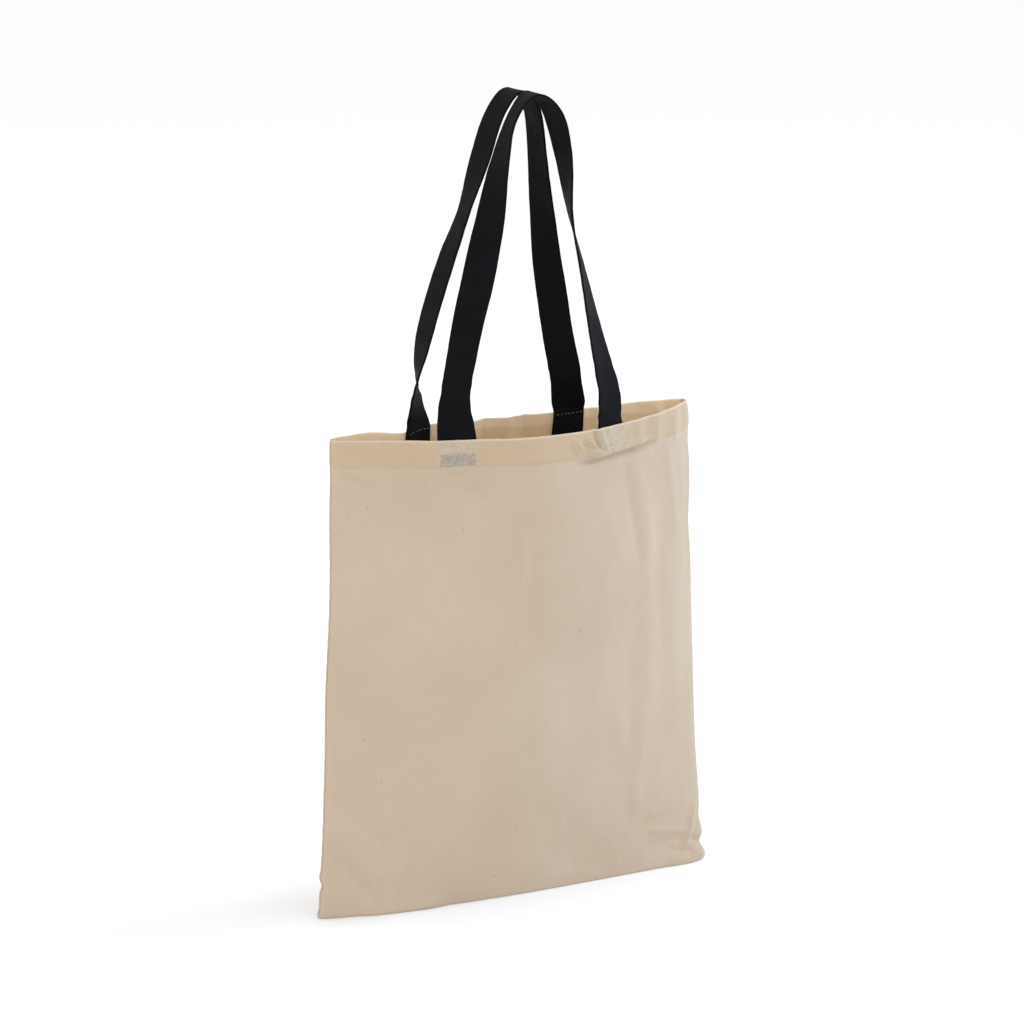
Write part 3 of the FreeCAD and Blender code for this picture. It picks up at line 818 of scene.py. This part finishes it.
class Nodes:
    """Short names for making a node tree."""

    def __init__(self, name):
        self.material = bpy.data.materials.new(name)
        self.material.use_nodes = True
        self.tree = self.material.node_tree
        self.shader = self.tree.nodes["Principled BSDF"]

    def put(self, socket, value):
        if isinstance(value, bpy.types.NodeSocket):
            self.tree.links.new(value, socket)
        elif value is not None:
            socket.default_value = value

    def math(self, kind, a, b=None, c=None, clamp=False):
        node = self.tree.nodes.new("ShaderNodeMath")
        node.operation = kind
        node.use_clamp = clamp
        for socket, value in zip(node.inputs, (a, b, c)):
            self.put(socket, value)
        return node.outputs[0]

    def times(self, a, b, clamp=False):
        return self.math("MULTIPLY", a, b, clamp=clamp)

    def mix(self, share, a, b, kind="MIX"):
        node = self.tree.nodes.new("ShaderNodeMix")
        node.data_type = "RGBA"
        node.blend_type = kind
        self.put(node.inputs["Factor"], share)
        for socket, value in ((node.inputs[6], a), (node.inputs[7], b)):
            if isinstance(value, tuple):
                value = (*value, 1.0)
            self.put(socket, value)
        return node.outputs[2]

    def ramp(self, value, low, high, out_low=0.0, out_high=1.0):
        node = self.tree.nodes.new("ShaderNodeMapRange")
        node.interpolation_type = "SMOOTHSTEP"
        for socket, v in zip(node.inputs, (value, low, high, out_low, out_high)):
            self.put(socket, v)
        return node.outputs[0]

    def noise(self, vector, scale, detail=2.0, rough=0.5):
        node = self.tree.nodes.new("ShaderNodeTexNoise")
        self.put(node.inputs["Vector"], vector)
        self.put(node.inputs["Scale"], scale)
        self.put(node.inputs["Detail"], detail)
        self.put(node.inputs["Roughness"], rough)
        return node.outputs["Fac"]

    def stretch(self, vector, scale):
        node = self.tree.nodes.new("ShaderNodeMapping")
        self.put(node.inputs["Vector"], vector)
        node.inputs["Scale"].default_value = scale
        return node.outputs[0]

    def cloth(self):
        node = self.tree.nodes.new("ShaderNodeUVMap")
        node.uv_map = "cloth"
        return node.outputs[0]

    def split(self, vector):
        node = self.tree.nodes.new("ShaderNodeSeparateXYZ")
        self.put(node.inputs[0], vector)
        return node.outputs[0], node.outputs[1]

    def attribute(self, name):
        node = self.tree.nodes.new("ShaderNodeAttribute")
        node.attribute_name = name
        return node.outputs["Fac"]

    def bump(self, height, distance, strength=1.0, normal=None):
        node = self.tree.nodes.new("ShaderNodeBump")
        self.put(node.inputs["Height"], height)
        node.inputs["Distance"].default_value = distance
        node.inputs["Strength"].default_value = strength
        if normal is not None:
            self.put(node.inputs["Normal"], normal)
        return node.outputs[0]

    def plain_weave(self, vector, pitch):
        """Height of an over-and-under weave: rounded threads on a chequered rise and fall."""
        u, v = self.split(vector)
        turn = math.pi / pitch
        a = self.math("SINE", self.times(u, turn))
        b = self.math("SINE", self.times(v, turn))
        rise = self.times(a, b)
        threads_u = self.math("ABSOLUTE", a)
        threads_v = self.math("ABSOLUTE", b)
        body = self.times(self.math("ADD", threads_u, threads_v), 0.35)
        return self.math("ADD", self.times(self.math("ABSOLUTE", rise), 0.3), body)


def canvas_material(name, light, deep, marks):
    n = Nodes(name)
    uv = n.cloth()
    warp = n.noise(n.stretch(uv, (1500, 45, 1)), 1.0, 2.0)
    weft = n.noise(n.stretch(uv, (38, 1500, 1)), 1.0, 2.0)
    broad = n.noise(uv, 9.0, 2.0, 0.5)
    fine = n.noise(uv, 620.0, 2.0, 0.6)
    slub = n.math("ADD", n.times(warp, 0.5), n.times(weft, 0.5))
    tone = n.math("ADD", n.times(broad, 0.55), n.times(slub, 0.45))
    colour = n.mix(n.ramp(tone, 0.36, 0.64), deep, light)
    colour = n.mix(n.ramp(fine, 0.62, 0.78, 0.0, 0.16), colour, (0.50, 0.42, 0.31))
    # bits of cotton seed: a few small brown specks in the yarn
    cell = n.tree.nodes.new("ShaderNodeTexVoronoi")
    cell.voronoi_dimensions = "2D"
    n.put(cell.inputs["Vector"], n.stretch(uv, (1.0, 0.8, 1.0)))
    cell.inputs["Scale"].default_value = 62.0
    pick = n.tree.nodes.new("ShaderNodeSeparateColor")
    n.put(pick.inputs[0], cell.outputs["Color"])
    size = n.times(n.ramp(pick.outputs[0], 0.74, 1.0), 0.030)
    speck = n.math("LESS_THAN", cell.outputs["Distance"], size)
    speck = n.times(speck, n.ramp(pick.outputs[1], 0.0, 1.0, 0.35, 0.85))
    colour = n.mix(speck, colour, (0.16, 0.10, 0.055))
    if marks:
        # the hem's doubled cloth lets less light through, so it is a little deeper
        colour = n.mix(n.attribute("hem_band"), colour, (0.985, 0.945, 0.865), "MULTIPLY")
        # painted highlight: the turned edge of the mouth is painted paler, as if it caught the light
        painted_rim_highlight = n.times(n.attribute("painted_light"), n.ramp(fine, 0.3, 0.7, 0.15, 0.5))
        colour = n.mix(painted_rim_highlight, colour, (0.80, 0.73, 0.62))
        # the dark strap behind shows between the threads as grey speckles
        shown = n.attribute("show_through")
        grain = n.noise(n.stretch(uv, (1.0, 1.25, 1.0)), 980.0, 3.0, 0.8)
        blotch = n.noise(uv, 260.0, 2.0, 0.6)
        cover = n.math("ADD", n.times(grain, 0.65), n.times(blotch, 0.35))
        level = n.math("SUBTRACT", 0.80, n.times(shown, 0.42))
        gaps = n.times(n.math("SUBTRACT", cover, level), 9.0, clamp=True)
        gaps = n.times(gaps, n.times(shown, 1.6, clamp=True))
        veil = n.times(shown, 0.45)
        colour = n.mix(veil, colour, (0.52, 0.485, 0.42))
        colour = n.mix(n.times(gaps, 0.66), colour, (0.225, 0.21, 0.185))
    else:
        # painted light: the top of the hem's inner side is painted paler where light reaches over
        # the mouth
        colour = n.mix(n.times(n.attribute("painted_light"), 0.45), colour, (0.88, 0.76, 0.60))
    n.put(n.shader.inputs["Base Color"], colour)
    weave = n.plain_weave(uv, 0.00056)
    thick = n.math("ADD", n.times(weave, 0.55), n.times(slub, 0.9))
    crumple = n.noise(uv, 130.0, 3.0, 0.6)
    soft = n.bump(crumple, 0.00022)
    n.put(n.shader.inputs["Normal"], n.bump(thick, 0.00011, 0.8, soft))
    n.put(n.shader.inputs["Roughness"], n.ramp(slub, 0.3, 0.7, 0.84, 0.95))
    n.shader.inputs["Specular IOR Level"].default_value = 0.25
    n.shader.inputs["Sheen Weight"].default_value = 0.30
    n.shader.inputs["Sheen Roughness"].default_value = 0.45
    n.shader.inputs["Sheen Tint"].default_value = (1.0, 0.98, 0.95, 1.0)
    return n.material


def webbing_material():
    n = Nodes("webbing")
    uv = n.cloth()
    v = n.split(uv)[1]
    ribs = n.math("ABSOLUTE", n.math("SINE", n.times(v, math.pi / 0.0011)))
    weave = n.plain_weave(uv, 0.00062)
    slub = n.noise(n.stretch(uv, (900, 60, 1)), 1.0, 2.0)
    wear = n.noise(uv, 45.0, 4.0, 0.6)
    lint = n.noise(n.stretch(uv, (1.0, 0.6, 1.0)), 900.0, 1.0)
    colour = n.mix(n.ramp(wear, 0.35, 0.7), (0.0027, 0.0026, 0.0038), (0.0052, 0.0051, 0.0068))
    # painted highlight: the crests of the weave are painted a little lighter
    colour = n.mix(n.times(weave, 0.30), colour, (0.0085, 0.0083, 0.0105))
    colour = n.mix(n.ramp(lint, 0.72, 0.80, 0.0, 0.25), colour, (0.05, 0.05, 0.055))
    n.put(n.shader.inputs["Base Color"], colour)
    height = n.math("ADD", n.times(weave, 0.7), n.times(ribs, 0.35))
    height = n.math("ADD", height, n.times(slub, 0.5))
    soft = n.bump(wear, 0.0005)
    n.put(n.shader.inputs["Normal"], n.bump(height, 0.00012, 0.9, soft))
    n.put(n.shader.inputs["Roughness"], n.ramp(wear, 0.3, 0.7, 0.62, 0.78))
    n.shader.inputs["Specular IOR Level"].default_value = 0.06
    return n.material


def thread_material():
    n = Nodes("thread")
    uv = n.cloth()
    u, v = n.split(uv)
    twist = n.math("ADD", n.times(u, 2 * math.pi / 0.0006),
                   n.times(v, 2 * math.pi / 0.001))
    plies = n.math("ABSOLUTE", n.math("SINE", twist))
    fuzz = n.noise(uv, 2600.0, 2.0)
    # painted shade: the grooves between the plies are painted darker and their crests lighter
    colour = n.mix(plies, (0.40, 0.34, 0.26), (0.66, 0.59, 0.48))
    colour = n.mix(n.ramp(fuzz, 0.4, 0.7, 0.0, 0.3), colour, (0.74, 0.68, 0.58))
    # the lower thread matches the strap where it lies on it
    colour = n.mix(n.attribute("dark"), colour, (0.006, 0.006, 0.008))
    n.put(n.shader.inputs["Base Color"], colour)
    n.put(n.shader.inputs["Normal"], n.bump(plies, 0.00008))
    n.shader.inputs["Roughness"].default_value = 0.75
    n.shader.inputs["Specular IOR Level"].default_value = 0.1
    return n.material


outside = canvas_material("canvas", (0.530, 0.427, 0.324), (0.494, 0.391, 0.290), True)
# the inside copy of the canvas is paler and warmer than the outside: painted light for daylight
# through the cloth
inside = canvas_material("canvas_inside", (0.72, 0.560, 0.370), (0.67, 0.512, 0.330), False)
# painted glow: a faint emission on the inside stands in for daylight coming through the thin cloth
glow = inside.node_tree.nodes["Principled BSDF"].inputs
glow["Emission Color"].default_value = (1.0, 0.76, 0.45, 1)
glow["Emission Strength"].default_value = 0.07
webbing = webbing_material()
thread = thread_material()

for piece in (front_panel, back_panel):
    piece.data.materials.append(outside)
    piece.data.materials.append(inside)
for piece in (front_hem, back_hem, *seams):
    piece.data.materials.append(inside)
for piece in (front_strap, back_strap):
    piece.data.materials.append(webbing)
for piece in threads:
    piece.data.materials.append(thread)

for piece in (front_panel, back_panel, front_hem, back_hem, *seams, *threads):
    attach(piece, "bag")
for piece, body in ((front_strap, "front_handle"), (back_strap, "back_handle")):
    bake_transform(piece)


# ---------------------------------------------------------------- floor, light and camera

def make_floor():
    size = 30.0
    mesh = bpy.data.meshes.new("floor")
    corners = [(-size, -size, 0), (size, -size, 0), (size, size, 0), (-size, size, 0)]
    mesh.from_pydata(corners, [], [(0, 1, 2, 3)])
    made = bpy.data.objects.new("floor", mesh)
    bpy.context.scene.collection.objects.link(made)
    n = Nodes("floor")
    n.shader.inputs["Base Color"].default_value = (0.88, 0.88, 0.885, 1)
    n.shader.inputs["Roughness"].default_value = 1.0
    n.shader.inputs["Specular IOR Level"].default_value = 0.0
    n.shader.inputs["Emission Color"].default_value = (1, 1, 1, 1)
    n.shader.inputs["Emission Strength"].default_value = 0.095
    n.material.cycles.emission_sampling = "NONE"
    mesh.materials.append(n.material)
    return made


def area_light(name, place, target, size, power, colour):
    data = bpy.data.lights.new(name, "AREA")
    data.shape = "DISK"
    data.size = size
    data.energy = power
    data.color = colour
    made = bpy.data.objects.new(name, data)
    made.location = place
    aim = Vector(target) - Vector(place)
    made.rotation_euler = aim.to_track_quat("-Z", "Y").to_euler()
    bpy.context.scene.collection.objects.link(made)
    return made


make_floor()
world = bpy.data.worlds.new("studio")
bpy.context.scene.world = world
world.use_nodes = True


def studio_light(tree):
    """A white surround that lights a little more from the upper right; it is seen as plain white."""
    place = tree.nodes.new("ShaderNodeTexCoord")
    toward = tree.nodes.new("ShaderNodeVectorMath")
    toward.operation = "DOT_PRODUCT"
    tree.links.new(place.outputs["Generated"], toward.inputs[0])
    toward.inputs[1].default_value = Vector((0.80, -0.25, 0.55)).normalized()
    level = tree.nodes.new("ShaderNodeMapRange")
    tree.links.new(toward.outputs["Value"], level.inputs["Value"])
    for socket, value in zip(level.inputs[1:5], (-1.0, 1.0, 0.72, 1.14)):
        socket.default_value = value
    path = tree.nodes.new("ShaderNodeLightPath")
    seen = tree.nodes.new("ShaderNodeMix")
    tree.links.new(path.outputs["Is Camera Ray"], seen.inputs["Factor"])
    tree.links.new(level.outputs[0], seen.inputs["A"])
    seen.inputs["B"].default_value = 1.0
    tree.links.new(seen.outputs["Result"], tree.nodes["Background"].inputs["Strength"])
    tree.nodes["Background"].inputs["Color"].default_value = (0.985, 0.99, 1.0, 1)


studio_light(world.node_tree)
area_light("key", (3.05, -0.5, 2.2), (0, 0, 0.25), 0.8, 56, (0.62, 0.81, 1.0))
area_light("fill", (-2.8, -1.5, 0.75), (0, 0, 0.10), 1.2, 18, (1.0, 0.975, 0.94))

TARGET = Vector((-0.0026, 0.0, 0.3387))
AZIMUTH = math.radians(-27.73)
ELEVATION = math.radians(12.46)
DISTANCE = 3.8787
LENS = 158.2                # millimetres, as is the sensor's width
SENSOR = 36.0
back = Vector((math.sin(AZIMUTH) * math.cos(ELEVATION),
               -math.cos(AZIMUTH) * math.cos(ELEVATION), math.sin(ELEVATION)))
camera_data = bpy.data.cameras.new("camera")
camera_data.lens = LENS
camera_data.sensor_width = SENSOR
camera = bpy.data.objects.new("camera", camera_data)
camera.location = TARGET + back * DISTANCE
camera.rotation_euler = (-back).to_track_quat("-Z", "Y").to_euler()
bpy.context.scene.collection.objects.link(camera)
bpy.context.scene.camera = camera
bpy.context.scene.view_settings.view_transform = "Standard"
